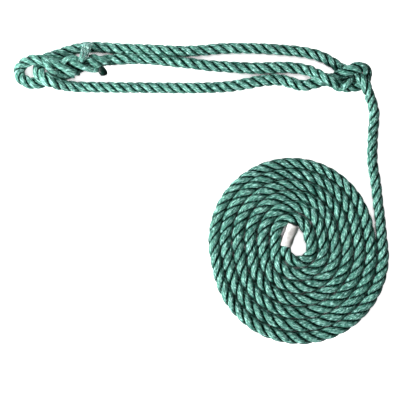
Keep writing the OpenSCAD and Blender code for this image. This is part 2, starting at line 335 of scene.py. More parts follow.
def yarn_tone(rng, count, scale, seed):
    """Shade of each yarn, drifting along it."""
    base = rng.uniform(0, 1, YARNS)
    tone = [0.6 * base[y] + 0.4 * (0.5 + 0.5 * smooth_noise(count, scale, seed + y))
            for y in range(YARNS)]
    return np.repeat(tone, YARN_POINTS, axis=0).T


def sweep(points, frames, across, up):
    """Vertex grid [ring, point] of a section carried along a line."""
    normal, binormal = frames
    return (points[:, None, :] + across[..., None] * normal[:, None, :]
            + up[..., None] * binormal[:, None, :])


def keep_above_floor(grid):
    grid[..., 2] = np.maximum(grid[..., 2], FLOOR_GAP)


def laid_strand(points, frames, along, theta, radius, flat, seed,
                twist=-0.2, ridge=0.2, wobble=0.1):
    """Grid, painted shade in the grooves, and tone of one strand; theta is its angle round the
    rope.
    """
    count = len(points)
    rng = np.random.default_rng(seed)
    angle = ring_angles(STRAND_POINTS)[None, :] + (twist * along)[:, None]
    wrapped = (angle + np.pi) % (2 * np.pi) - np.pi
    reach = np.interp(wrapped, SECTION_ANGLE, SECTION_REACH) * radius[:, None]
    reach = reach + yarn_ridges(rng, ridge, 0.35) * (0.55 + 0.45 * np.cos(angle))
    reach = reach + yarn_wobble(wobble, count, 9, seed * 31)
    normal, binormal = frames
    cos, sin = np.cos(theta)[:, None], np.sin(theta)[:, None]
    x = STRAND_MIDDLE * radius[:, None] + reach * np.cos(angle)
    y = reach * np.sin(angle)
    outward = cos * normal + sin * binormal
    grid = sweep(points, (outward, -sin * normal + cos * binormal), x, y)
    middle_z = points[:, None, 2]
    grid[..., 2] = middle_z + (grid[..., 2] - middle_z) * flat[:, None]
    keep_above_floor(grid)
    # painted shade: the deeper a point lies in the grooves between strands, the darker
    groove = np.clip((0.95 - np.hypot(x, y) / radius[:, None]) / 0.26, 0, 1)
    return grid, groove, yarn_tone(rng, count, 14, seed * 77)


def grid_normals(grid):
    along = np.gradient(grid, axis=0)
    around = np.roll(grid, -1, 1) - np.roll(grid, 1, 1)
    normal = np.cross(around, along)
    return normal / (np.linalg.norm(normal, axis=2)[..., None] + 1e-12)


def add_object(name, mesh, material):
    made = bpy.data.objects.new(name, mesh)
    bpy.context.scene.collection.objects.link(made)
    mesh.materials.append(material)
    return made


class Tubes:
    """Collects closed tubes into one mesh object."""

    def __init__(self):
        self.points, self.faces, self.normals = [], [], []
        self.groove, self.tone, self.uv = [], [], []
        self.count = 0

    def add_points(self, points, normals, groove, tone):
        self.points.append(points.reshape(-1, 3))
        self.normals.append(normals.reshape(-1, 3))
        self.groove.append(groove.reshape(-1))
        self.tone.append(tone.reshape(-1))
        self.count += len(self.points[-1])

    def tube(self, grid, groove, tone, along, girth=19.0, normals=None):
        """Add a tube; UVs are millimetres round it, up to the girth, and along it."""
        rings, around = grid.shape[:2]
        index = self.count + np.arange(rings * around).reshape(rings, around)
        self.add_points(grid, grid_normals(grid) if normals is None else normals, groove, tone)
        following = (np.arange(around) + 1) % around
        quads = (index[:-1], index[:-1][:, following], index[1:][:, following], index[1:])
        self.faces.append(np.stack(quads, -1).reshape(-1, 4))
        uv = np.empty((rings - 1, around, 4, 2))
        uv[..., [0, 3], 0] = (np.arange(around) / around * girth)[:, None]
        uv[..., 1:3, 0] = ((np.arange(around) + 1) / around * girth)[:, None]
        uv[..., :2, 1] = along[:-1, None, None]
        uv[..., 2:, 1] = along[1:, None, None]
        self.uv.append(uv.reshape(-1, 2))
        # each end closes with a fan round a centre point, which takes painted shade 0.6 and tone
        # 0.4
        for row, inside, order in ((0, 1, -1), (rings - 1, rings - 2, 1)):
            middle = grid[row].mean(0)
            outward = middle - grid[inside].mean(0)
            outward = outward / (np.linalg.norm(outward) + 1e-12)
            fan = np.stack([index[row], index[row][following], np.full(around, self.count)], -1)
            self.faces.append(fan[:, ::order])
            self.uv.append(np.tile([[0.0, float(along[row])]], (around * 3, 1)))
            self.add_points(middle, outward, np.array([0.6]), np.array([0.4]))

    def build(self, name, material):
        points = np.vstack(self.points) / 1000.0
        loops = np.concatenate([f.reshape(-1) for f in self.faces]).astype(np.int32)
        sizes = np.concatenate([np.full(len(f), f.shape[1]) for f in self.faces])
        sizes = sizes.astype(np.int32)
        starts = np.r_[0, np.cumsum(sizes)[:-1]].astype(np.int32)
        mesh = bpy.data.meshes.new(name)
        mesh.vertices.add(len(points))
        mesh.vertices.foreach_set("co", points.astype(np.float32).reshape(-1))
        mesh.loops.add(len(loops))
        mesh.loops.foreach_set("vertex_index", loops)
        mesh.polygons.add(len(sizes))
        mesh.polygons.foreach_set("loop_start", starts)
        mesh.polygons.foreach_set("loop_total", sizes)
        mesh.update(calc_edges=True)
        mesh.validate()
        mesh.polygons.foreach_set("use_smooth", np.ones(len(mesh.polygons), bool))
        layer = mesh.uv_layers.new(name="UVMap")
        layer.data.foreach_set("uv", np.vstack(self.uv).astype(np.float32).reshape(-1))
        for key, values in (("groove", self.groove), ("tone", self.tone)):
            attribute = mesh.attributes.new(key, "FLOAT", "POINT")
            attribute.data.foreach_set("value", np.concatenate(values).astype(np.float32))
        mesh.normals_split_custom_set_from_vertices(np.vstack(self.normals).astype(np.float32))
        return add_object(name, mesh, material)


# ------------------------------------------------------------------ materials
class Shader:
    """A new material, with short ways to add and wire its nodes."""

    def __init__(self, name):
        self.material = bpy.data.materials.new(name)
        self.material.use_nodes = True
        self.tree = self.material.node_tree

    def feed(self, node, inputs):
        """Link the inputs that are given as sockets, and set the others."""
        for key, value in inputs.items():
            if isinstance(value, bpy.types.NodeSocket):
                self.tree.links.new(value, node.inputs[key])
            else:
                node.inputs[key].default_value = value

    def surface(self, inputs):
        self.feed(self.tree.nodes["Principled BSDF"], inputs)

    def add(self, kind, inputs=None, **settings):
        node = self.tree.nodes.new("ShaderNode" + kind)
        for key, value in settings.items():
            setattr(node, key, value)
        self.feed(node, inputs or {})
        return node

    def math(self, operation, first, second, clamp=False):
        node = self.add("Math", {0: first, 1: second}, operation=operation, use_clamp=clamp)
        return node.outputs[0]

    def noise(self, vector, **inputs):
        return self.add("TexNoise", {"Vector": vector, **inputs}).outputs["Fac"]

    def stretch(self, value, low, high):
        """Map low to 0 and high to 1."""
        inputs = {"Value": value, "From Min": low, "From Max": high}
        return self.add("MapRange", inputs).outputs["Result"]

    def mix(self, factor, first, second, data_type="RGBA", **settings):
        inputs = {"Factor": factor, "A": first, "B": second}
        return self.add("Mix", inputs, data_type=data_type, **settings).outputs["Result"]

    def ramp(self, value, *stops):
        """Colour ramp; each stop is (position, colour)."""
        node = self.add("ValToRGB", {0: value})
        elements = node.color_ramp.elements
        for i in (0, -1):
            elements[i].position = stops[i][0]
            elements[i].color = (*stops[i][1], 1)
        for position, colour in stops[1:-1]:
            elements.new(position).color = (*colour, 1)
        return node.outputs[0]

    def bump(self, height, **inputs):
        return self.add("Bump", {"Height": height, **inputs}).outputs[0]

    def object_coordinates(self):
        return self.add("TexCoord").outputs["Object"]


def rope_material(name, dark, middle, light):
    shader = Shader(name)
    uv = shader.add("UVMap", uv_map="UVMap").outputs[0]

    def film_noise(across, along, shift=(0, 0), **detail):
        """Noise drawn out along the yarn."""
        inputs = {"Vector": uv, "Scale": (across, along, 1), "Location": (*shift, 0)}
        return shader.noise(shader.add("Mapping", inputs).outputs[0], Scale=1.0, **detail)

    def times(value, factor):
        return shader.math("MULTIPLY", value, factor)

    def add(first, second):
        return shader.math("ADD", first, second)

    # fine split fibres: long thin streaks along the yarn
    fibre_noise = film_noise(3.6, 0.11, Detail=4.0, Roughness=0.62)
    # broad patches of shade
    patch_noise = shader.noise(shader.object_coordinates(), Scale=55.0, Detail=2.0)
    # painted glint flecks where a split film lies flat
    glint_noise = film_noise(1.5, 0.28, (3.1, 7.7), Detail=3.0)
    # broken film ends: short bright and dark specks
    speck_noise = film_noise(1.15, 0.24, (11.3, 2.9), Detail=5.0, Roughness=0.68)
    # painted highlights on bundles of film that catch the light together
    bundle_highlight_noise = film_noise(0.70, 0.12, (5.9, 13.3), Detail=4.0, Roughness=0.6)
    stray_glint_and_slit_shade_noise = film_noise(1.05, 0.20, (21.7, 4.1), Detail=2.0, Roughness=0.5)
    tone = shader.add("Attribute", attribute_name="tone").outputs["Fac"]
    groove = shader.add("Attribute", attribute_name="groove").outputs["Fac"]
    fibres = shader.stretch(fibre_noise, 0.34, 0.66)
    glints = shader.stretch(glint_noise, 0.38, 0.64)
    patches = shader.stretch(patch_noise, 0.30, 0.70)
    specks = shader.stretch(speck_noise, 0.38, 0.62)
    bundle_highlights_and_relief = shader.stretch(bundle_highlight_noise, 0.36, 0.64)

    # lightness is a weighted sum of the layers, taken down by painted shade in the grooves
    shade = add(times(fibres, 0.18), times(glints, 0.30))
    shade = add(shade, add(times(tone, 0.12), times(patches, 0.10)))
    shade = add(shade, add(times(specks, 0.34), times(bundle_highlights_and_relief, 0.34)))
    shade = shader.math("SUBTRACT", shade, times(groove, 0.25))
    colour = shader.ramp(shade, (0.42, dark), (0.68, middle), (0.98, light))
    # painted glints on stray films, and painted shade in the slits between them
    bright = (*[min(0.92, 1.35 * c) for c in light], 1)
    colour = shader.mix(times(shader.stretch(stray_glint_and_slit_shade_noise, 0.56, 0.64), 0.85), colour, bright)
    colour = shader.mix(times(shader.stretch(stray_glint_and_slit_shade_noise, 0.45, 0.36), 0.9), colour,
                        (0.06, 0.22, 0.18, 1), blend_type="MULTIPLY")
    # painted shade: the grooves darken toward deep green and lose their specular
    depth = shader.math("POWER", groove, 1.2)
    colour = shader.mix(depth, colour, (0.03, 0.16, 0.12, 1), blend_type="MULTIPLY")

    height = add(times(specks, 0.7), times(bundle_highlights_and_relief, 0.9))
    height = add(times(fibres, 0.5), add(times(glints, 0.8), height))
    tangent = shader.add("Tangent", direction_type="UV_MAP", uv_map="UVMap")
    shader.surface({
        "Base Color": colour,
        "Roughness": add(times(glint_noise, -0.22), 0.45),
        "Anisotropic": 0.9,
        "IOR": 1.6,
        "Specular IOR Level": times(shader.math("SUBTRACT", 1.0, depth, clamp=True), 1.0),
        "Specular Tint": (0.50, 1.0, 0.88, 1),
        "Tangent": tangent.outputs[0],
        "Normal": shader.bump(height, Strength=0.8, Distance=0.0009)})
    return shader.material


def srgb(*channels):
    """Linear colour from 0-255 sRGB channels."""
    return tuple((v / 255 / 12.92) if v <= 10 else (((v / 255) + 0.055) / 1.055) ** 2.4
                 for v in channels)


def tape_material():
    shader = Shader("tape_white")
    place = shader.object_coordinates()
    coarse = shader.noise(place, Scale=260.0, Detail=5)
    grain = shader.noise(place, Scale=2200.0, Detail=3)
    height = shader.mix(0.35, coarse, grain, data_type="FLOAT")
    shader.surface({
        "Base Color": shader.ramp(coarse, (0.3, srgb(182, 180, 172)),
                                  (0.62, srgb(216, 215, 210))),
        "Roughness": 0.62,
        "Subsurface Weight": 0.35,
        "Subsurface Radius": (1.0, 1.0, 0.9),
        "Subsurface Scale": 0.004,
        "Normal": shader.bump(height, Strength=0.5, Distance=0.0004)})
    return shader.material


def melted_material():
    shader = Shader("melted_end")
    lumps = shader.noise(shader.object_coordinates(), Scale=420.0, Detail=4)
    shader.surface({
        "Base Color": shader.ramp(lumps, (0.35, srgb(1, 12, 9)), (0.75, srgb(5, 46, 37))),
        "Roughness": 0.38,
        "IOR": 1.33,
        "Normal": shader.bump(lumps, Strength=0.6, Distance=0.0005)})
    return shader.material


def floor_material():
    """White floor that glows to the camera, with painted contact shade near the rope and painted
    dark green shade in the gaps between ropes.
    """
    shader = Shader("floor_white")

    def openness(reach):
        node = shader.add("AmbientOcclusion", {"Distance": reach}, samples=8)
        return node.outputs["AO"]

    camera_ray = shader.add("LightPath").outputs["Is Camera Ray"]
    # painted contact shade: the glow fades within about 4 mm of the rope
    contact = shader.math("POWER", openness(0.004), 1.1)
    clear = shader.stretch(openness(0.016), 0.11, 0.26)
    unseen = shader.math("SUBTRACT", 1.0, camera_ray)
    glow = shader.math("MULTIPLY", shader.math("MULTIPLY", camera_ray, 1.0), clear)
    shader.surface({
        # painted shade: to the camera the floor is dark green in narrow gaps between ropes;
        # other rays see plain grey
        "Base Color": shader.mix(shader.math("MAXIMUM", clear, unseen),
                                 (0.02, 0.07, 0.055, 1), (0.8, 0.8, 0.8, 1)),
        "Roughness": 0.9,
        "Specular IOR Level": 0.1,
        "Emission Color": (1, 1, 1, 1),
        "Emission Strength": shader.math("MULTIPLY", contact, glow)})
    return shader.material


ROPE = rope_material("rope_green", dark=(0.001, 0.028, 0.019), middle=(0.012, 0.160, 0.113),
                     light=(0.385, 0.785, 0.635))
FRAYED = rope_material("rope_green_frayed", dark=(0.003, 0.050, 0.038),
                       middle=(0.080, 0.290, 0.235), light=(0.56, 0.90, 0.80))
TAPE = tape_material()
MELTED = melted_material()

# ------------------------------------------------------------------ lay and thickness
outer_centre, outer_r = half_turn(0)
coil_start = coil_point(outer_centre + [outer_r, 0])
at_loop = dist[nearest_ring(LOOP[6])]
at_eye = dist[nearest_ring((-186.3, 137.0), at_loop + 250)]
at_throat = dist[nearest_ring(LEAD[1], at_eye + 250)]
at_coil = dist[nearest_ring(coil_start, at_throat + 100, at_throat + 320)]

# the lay opens and tightens a little from part to part, most of all round the coil:
# (distance along, length of one turn of a strand)
lay_marks = [
    (0, 33.0), (150, 33.0), (200, 37.0), (at_loop - 70, 37.0), (at_loop, 34.0),
    (at_loop + 80, 33.2), (at_eye - 60, 33.2), (at_eye, 34.0), (at_eye + 60, 36.0),
    (at_throat - 50, 36.0), (at_throat + 60, 37.0), (at_coil, 38.5)]
mark = at_coil
for k in range(HALF_TURNS):
    arc_r = half_turn(k)[1]
    lay_marks.append((mark + 0.5 * math.pi * arc_r, 46.5 if k % 2 == 0 else 38.5))
    mark += math.pi * arc_r + COIL_STRAIGHT
lay_marks.append((dist[-1], 34.0))
lay = np.interp(dist, *zip(*lay_marks))
theta = 0.3 + np.r_[0, np.cumsum(2 * np.pi / (0.5 * (lay[1:] + lay[:-1])) * np.diff(dist))]


def rope_radii(coil_ring):
    """Half width of the rope at each ring."""
    radii = np.where(dist < at_throat, 6.38, 6.2)
    # turns of the coil press together: the rope there widens until neighbours just meet
    for i in range(coil_ring, len(dist)):
        other = np.abs(dist - dist[i]) > 60
        other[:coil_ring - 20] = False
        to_other = path[other][:, :2] - path[i, :2]
        gap = np.linalg.norm(to_other, axis=1)
        side = to_other @ path_frames[0][i, :2]
        nearest = [gap[part].min() for part in (side > 0, side < 0) if part.any()]
        nearest = [value for value in nearest if value < 16]
        radii[i] = np.clip(0.5 * max(nearest) + 0.08, ROPE_R, 7.3) if nearest else 6.5
    # noseband and headpiece swell round x = 72
    x, y = path[:, 0], path[:, 1]
    radii += 0.5 * (np.exp(-((x - 72) / 42) ** 2) * ((y > 122) & (y < 150) & (dist < at_throat)))
    for first, last, wide in ((0.0, 62.0, 7.1), (at_eye - 26.0, at_eye + 14.0, 7.5)):
        radii[(dist >= first) & (dist <= last)] = wide
    radii = running_mean(radii, 14)
    # the end narrows to fit inside the tape
    taper = dist > dist[-1] - 34
    radii[taper] = np.interp(dist[taper], [dist[-1] - 34, dist[-1] - 18],
                             [radii[taper][0], 5.55])
    return radii


coil_ring = nearest_ring(coil_start)
rope_r = rope_radii(coil_ring)
rope_flat = np.minimum(ROPE_R / rope_r, 1.0)
strands = []
for k in range(3):
    grid, groove, tone = laid_strand(path, path_frames, dist, theta + 2 * np.pi * k / 3,
                                     rope_r, rope_flat, 11 + k)
    # painted shade in the valleys between the coil's turns, where less light reaches
    height = (grid[..., 2] - path[:, 2][:, None]) / ROPE_R
    in_coil = np.clip((dist - dist[coil_ring]) / 40, 0, 1)[:, None]
    groove = np.maximum(groove, np.clip((0.60 - height) / 0.5, 0, 1) * 0.55 * in_coil)
    strands.append((grid, grid_normals(grid), groove, tone))

# ------------------------------------------------------------------ the rope as pieces
PLACES = {**HINGE, "eye_close": (-119, 151.2), "bight_end": (-160, 160.8)}
# rings along the rope: (place, nearest and farthest distance past the row before); the
# range keeps a crossing from picking the wrong line
RING_SEARCH = [
    ("eye_close", 90, 170), ("nose_bend_4", 0, 60), ("nose_bend_3", 0, 120),
    ("nose_bend_2", 0, 90), ("halter_open", 0, 120), ("head_bend_1", 100, 260),
    ("head_bend_2", 0, 130), ("head_bend_3", 0, 150), ("head_bend_4", 0, 130),
    ("bight_end", 50, 160), ("chin_bend_4", 0, 80), ("chin_bend_3", 0, 130),
    ("chin_bend_2", 0, 130), ("chin_bend_1", 0, 130), ("lead_swing", 60, 180),
    ("lead_lift", 0, 40), ("lead_lift_2", 0, 40), ("lead_lift_3", 0, 40)]
ring = {}
reached = 0
for place, low, high in RING_SEARCH:
    ring[place] = nearest_ring(PLACES[place], reached + low, reached + high)
    reached = dist[ring[place]]
mid_rings = []
reached += 80
for middle in coil_mids:
    mid_rings.append(nearest_ring(middle, reached, reached + 420))
    reached = dist[mid_rings[-1]] + 20
inner_ring = nearest_ring(on_circle(inner_at, inner_r, -35), dist[mid_rings[-1]])


def between(first, second):
    return (ring[first] + ring[second]) // 2


def past(place, length):
    return ring[place] + int(length / RING_STEP)


def rope_piece(name, first, last):
    tubes = Tubes()
    cut = slice(first, last + 1)
    for grid, normals, groove, tone in strands:
        tubes.tube(grid[cut], groove[cut], tone[cut], dist[cut], normals=normals[cut])
    made = tubes.build(name, ROPE)
    return made


def bent_piece(name, first, last, cad_nodes):
    """A piece between two rings where the rope runs from one body to the next; it is attached to
    neither.
    """
    made = rope_piece(name, first, last)
    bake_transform(made)
    if cad_nodes:
        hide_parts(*cad_nodes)


# name, last ring, hinge it bends at, reach of the bend each way, bodies, CAD nodes;
# a piece starts at the last ring of the one before
HALTER = [
    ("eye_rope", ring["eye_close"], None, 0, ["eye_end"], ["nose_eye"]),
    ("noseband_at_eye", between("nose_bend_4", "nose_bend_3"), "nose_bend_4", 16,
     ["eye_end", "nose_c"], ["noseband_3"]),
    ("noseband_far", between("nose_bend_3", "nose_bend_2"), "nose_bend_3", 20,
     ["nose_c", "nose_b"], []),
    ("noseband_near", between("nose_bend_2", "halter_open"), "nose_bend_2", 20,
     ["nose_b", "nose_a"], ["noseband_2"]),
    ("noseband_at_loop", past("halter_open", 16), "halter_open", 16,
     ["nose_a", "loop_end"], ["noseband_1"]),
    ("running_loop_rope", past("head_bend_1", -16), None, 0, ["loop_end"], ["running_loop"]),
    ("headpiece_at_loop", between("head_bend_1", "head_bend_2"), "head_bend_1", 16,
     ["loop_end", "head_a"], ["headpiece_1"]),
    ("headpiece_near", between("head_bend_2", "head_bend_3"), "head_bend_2", 20,
     ["head_a", "head_b"], ["headpiece_2"]),
    ("headpiece_far", between("head_bend_3", "head_bend_4"), "head_bend_3", 20,
     ["head_b", "head_c"], []),
    ("headpiece_at_eye", past("head_bend_4", 18), "head_bend_4", 16,
     ["head_c", "head_turn"], ["headpiece_3"]),
    ("bight_in_eye", ring["bight_end"], None, 0, ["head_turn"], ["eye_bight"]),
    ("chin_line_at_eye", between("chin_bend_4", "chin_bend_3"), "chin_bend_4", 16,
     ["chin_d", "chin_c"], ["chin_line_end"]),
    ("chin_line_far", between("chin_bend_3", "chin_bend_2"), "chin_bend_3", 20,
     ["chin_c", "chin_b"], ["chin_line_3"]),
    ("chin_line_near", between("chin_bend_2", "chin_bend_1"), "chin_bend_2", 20,
     ["chin_b", "chin_a"], ["chin_line_2"]),
    ("chin_line_at_loop", past("chin_bend_1", 16), "chin_bend_1", 16,
     ["chin_a", "loop_end"], ["chin_line_1"]),
    ("lead_throat_rope", past("lead_swing", -9), None, 0, ["loop_end"], ["lead_throat"]),
    ("lead_at_loop", between("lead_swing", "lead_lift"), "lead_swing", 8.4,
     ["loop_end", "lead_a"], ["lead_1"]),
    ("lead_bend_1", between("lead_lift", "lead_lift_2"), "lead_lift", 8.4,
     ["lead_a", "lead_b"], ["lead_2"]),
    ("lead_bend_2", between("lead_lift_2", "lead_lift_3"), "lead_lift_2", 8.4,
     ["lead_b", "lead_c"], ["lead_3"]),
    ("lead_bend_3", past("lead_lift_3", 14), "lead_lift_3", 8.4, ["lead_c", "lead_d"], []),
    ("lead_to_coil", mid_rings[0], None, 0, ["lead_d"], ["lead_run", "coil_01"])]
first = 0
for name, last, hinge, reach, bodies, cad_nodes in HALTER:
    if hinge:
        bent_piece(name, first, last,
                   cad_nodes)
    else:
        made = rope_piece(name, first, last)
        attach(made, bodies[0])
        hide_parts(*cad_nodes)
    first = last

# the coil, each piece from the middle of one half turn to the middle of the next
coil_cuts = mid_rings + [inner_ring]
for k in range(HALF_TURNS):
    bent_piece("coil_turn_%02d" % (k + 1), coil_cuts[k], coil_cuts[k + 1],
               ["coil_%02d" % (k + 2)])
bent_piece("lead_free_end", inner_ring, len(dist) - 1,
           ["lead_tail"])


# ------------------------------------------------------------------ splice and its tails
def settle(made, slot, body, *cad_nodes):
    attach(made, body)
    if cad_nodes:
        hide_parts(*cad_nodes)


def spread_over(share, values):
    """Evenly spread values, read at each share of the length."""
    return np.interp(share, np.linspace(0, 1, len(values)), values)


def splice_body():
    """The swollen splice: the doubled strands round the standing rope."""
    line, along = spaced_spline([
        (-104.0, 153.0, 6.2), (-111.0, 152.4, 6.3), (-119.6, 151.0, 6.8), (-126.5, 148.9, 7.4),
        (-132.2, 147.0, 8.0), (-139.1, 145.9, 8.6), (-144.9, 144.4, 8.8), (-150.6, 142.8, 8.9),
        (-157.5, 142.4, 8.6), (-165.0, 142.6, 7.8)], 1.2)
    share = along / along[-1]
    radius = np.interp(share, [0, 0.12, 0.26, 0.46, 0.57, 0.68, 0.78, 0.9, 1.0],
                       [4.6, 6.0, 6.5, 7.2, 8.0, 9.6, 10.6, 9.8, 7.6])
    flat = np.interp(share, [0, 0.2, 0.5, 1.0], [0.95, 0.98, 0.92, 0.76])
    tubes = Tubes()
    for k in range(3):
        turn = 2 * np.pi * along / 47.0 + 2 * np.pi * k / 3 + 0.9
        grid, groove, tone = laid_strand(line, level_frames(line), along, turn, radius, flat,
                                         41 + k, twist=-0.12, ridge=0.3, wobble=0.25)
        tubes.tube(grid, groove, tone, along, girth=26.0)
    settle(tubes.build("eye_splice_body", ROPE), "rope", "eye_end", "eye_splice")


def add_tuck(tubes, seed, points, widths, heights, twist=-0.13, ridge=0.3):
    """One strand lying over its neighbours: an oval bundle of yarns."""
    line, along = spaced_spline(points, 0.9)
    count = len(line)
    share = along / along[-1]
    rng = np.random.default_rng(seed)
    angle = ring_angles(STRAND_POINTS)[None, :] + (twist * along)[:, None] + rng.uniform(0, 1)
    oval = superellipse(angle, 2.3)
    ridges = yarn_ridges(rng, ridge, 0.4)
    wobble = yarn_wobble(0.14, count, 7, seed * 19)
    across = spread_over(share, widths)[:, None] * oval + ridges + wobble
    up = spread_over(share, heights)[:, None] * oval + ridges + wobble
    grid = sweep(line, level_frames(line), across * np.cos(angle), up * np.sin(angle))
    keep_above_floor(grid)
    # painted shade underneath and at both ends
    groove = np.clip(0.5 - 1.0 * np.sin(angle), 0, 1) * 0.95
    for end in ((0.10 - share) / 0.10, (share - 0.90) / 0.10):
        groove = np.maximum(groove, np.clip(end, 0, 1)[:, None] * 0.8)
    tubes.tube(grid, groove, yarn_tone(rng, count, 9, seed * 23), along, girth=18.0)


def tucks(name, body, rows, *cad_nodes):
    tubes = Tubes()
    for row in rows:
        add_tuck(tubes, *row)
    settle(tubes.build(name, ROPE), "rope", body, *cad_nodes)


# rows are (seed, points, half widths, half heights)
SPLICE_TUCKS = [
    # strands folding from the eye's +y side down into the splice
    (61, [(-184.0, 156.0, 12.0), (-180.5, 152.5, 18.2), (-175.4, 146.2, 19.2),
          (-171.4, 140.2, 17.6), (-164.5, 135.2, 14.6), (-155.5, 133.2, 11.8),
          (-148.5, 134.4, 9.0)],
     (1.5, 3.2, 3.4, 3.4, 3.2, 2.9, 1.2), (1.2, 2.6, 2.8, 3.0, 3.1, 2.9, 1.2)),
    (62, [(-176.5, 153.5, 14.5), (-170.0, 150.6, 18.0), (-164.0, 146.8, 18.6),
          (-158.0, 142.6, 18.0), (-150.8, 138.6, 16.0), (-143.5, 136.6, 12.0)],
     (1.2, 2.7, 3.0, 3.0, 2.9, 1.2), (1.2, 2.5, 2.9, 3.0, 2.8, 1.2)),
    # tucks along the swell
    (63, [(-171.0, 145.5, 12.4), (-165.5, 146.2, 16.8), (-158.5, 143.2, 18.2),
          (-151.0, 140.0, 17.6), (-144.0, 136.9, 14.2), (-139.0, 135.6, 10.2)],
     (1.4, 2.7, 3.0, 3.0, 2.8, 1.2), (1.2, 2.8, 3.2, 3.2, 2.8, 1.2)),
    (64, [(-152.5, 150.6, 12.5), (-146.4, 149.0, 16.6), (-139.6, 145.8, 17.8),
          (-131.5, 142.4, 16.4), (-124.6, 140.8, 14.2), (-117.5, 140.6, 13.2)],
     (1.4, 2.8, 3.1, 3.1, 3.0, 2.6), (1.2, 2.7, 3.1, 3.1, 2.9, 2.4)),
    (65, [(-133.5, 154.0, 10.5), (-128.8, 152.6, 14.0), (-123.4, 148.9, 15.2),
          (-117.6, 145.2, 13.4), (-112.6, 143.8, 8.8)],
     (1.4, 2.9, 3.3, 3.1, 1.2), (1.2, 2.4, 2.7, 2.6, 1.2)),
    (66, [(-128.2, 157.4, 7.5), (-122.6, 156.4, 11.6), (-116.2, 153.2, 13.2),
          (-109.6, 149.6, 12.0), (-103.8, 147.6, 7.6)],
     (1.4, 2.8, 3.2, 3.1, 1.2), (1.2, 2.4, 2.6, 2.6, 1.2))]
TAIL_TUCK = [
    (67, [(-157.8, 148.4, 15.4), (-155.6, 150.3, 17.2), (-151.0, 153.0, 18.2),
          (-145.0, 154.0, 17.8), (-139.6, 151.6, 16.0), (-136.4, 148.6, 13.0)],
     (2.2, 3.1, 3.3, 3.2, 2.8, 1.4), (1.8, 2.6, 2.8, 2.7, 2.4, 1.2))]
# one strand stands off in the tight turn and climbs across the running loop
LOOP_TUCKS = [
    (71, [(146.0, 128.6, 13.6), (151.4, 122.9, 14.2), (156.4, 119.4, 13.4),
          (162.0, 120.0, 14.2), (167.2, 124.6, 15.4), (171.8, 130.0, 14.6),
          (175.2, 134.2, 11.2)],
     (1.3, 2.9, 3.1, 3.2, 3.1, 2.9, 1.2), (1.2, 2.3, 2.5, 2.6, 2.6, 2.4, 1.2)),
    (72, [(149.5, 134.2, 8.6), (155.0, 131.6, 8.8), (161.0, 130.2, 8.8),
          (166.6, 130.8, 8.8), (172.0, 133.6, 8.4)],
     (1.6, 3.0, 3.3, 3.2, 1.6), (1.6, 2.8, 3.0, 2.8, 1.6))]

splice_body()
tucks("eye_splice_tucks", "eye_end", SPLICE_TUCKS, "splice_strand_3")
tucks("splice_tail_left", "eye_end", TAIL_TUCK, "splice_strand_2")
tucks("running_loop_outer_strand", "loop_end", LOOP_TUCKS)


def yarn_fan(name, points, half_widths, yarns, seed, yarn_r, lift, fray, *cad_nodes):
    """An unlaid strand: separate yarns side by side that wander, cross and end unevenly."""
    line, along = spaced_spline(points, 0.8)
    count = len(line)
    normal, binormal = level_frames(line)
    rng = np.random.default_rng(seed)
    share = along / along[-1]
    half_width = spread_over(share, half_widths)
    tubes = Tubes()
    for y in range(yarns):
        lane = -1 + 2 * (y + 0.5) / yarns + rng.uniform(-0.12, 0.12)
        first = int(rng.integers(0, 3))
        last = count - int(rng.integers(0, 5) * fray)
        sideways = (half_width * (lane + 0.16 * smooth_noise(count, 9, seed * 13 + y))
                    + 0.5 * fray * smooth_noise(count, 5, seed + 91 * y) * share ** 2)
        up = (lift * (0.8 * (1 - lane ** 2) + 0.7 * smooth_noise(count, 7, seed * 17 + y))
              + (0.9 if y % 2 else 0.0))
        yarn = (line + sideways[:, None] * normal + up[:, None] * binormal)[first:last]
        radius = yarn_r * (1 + 0.18 * smooth_noise(len(yarn), 5, seed + 5 * y))
        radius[0] *= 0.5
        radius[-1] *= 0.45
        angle = ring_angles(9)[None, :] + 0.18 * np.arange(len(yarn))[:, None]
        reach = radius[:, None] * (1 + 0.16 * np.cos(3 * angle))
        grid = sweep(yarn, steady_frames(yarn), reach * np.cos(angle), reach * np.sin(angle))
        keep_above_floor(grid)
        tone = rng.uniform(0.2, 1.0) + 0.25 * smooth_noise(len(yarn), 4, seed + y)
        tone = np.clip(tone, 0, 1)[:, None] * np.ones((1, 9))
        # each yarn takes a faint even painted shade of 0.05
        tubes.tube(grid, np.full(tone.shape, 0.05), tone, along[first:last], girth=5.0)
    settle(tubes.build(name, FRAYED), "rope", "eye_end", *cad_nodes)


yarn_fan("splice_tail_up",
         [(-137.2, 149.6, 16.4), (-135.6, 152.6, 18.2), (-133.4, 157.0, 18.4),
          (-131.4, 162.0, 17.0), (-129.8, 166.8, 15.4), (-128.6, 171.4, 14.6)],
         (2.6, 3.3, 3.9, 4.3, 4.2, 4.1), 8, 3, 1.0, 0.9, 1.0, "splice_strand_1")
yarn_fan("splice_tail_left_cut",
         [(-152.6, 150.6, 19.2), (-155.0, 149.6, 19.0), (-157.6, 148.0, 18.0),
          (-159.2, 146.6, 16.6)],
         (2.0, 2.6, 2.7, 2.4), 6, 9, 0.7, 0.5, 0.6)


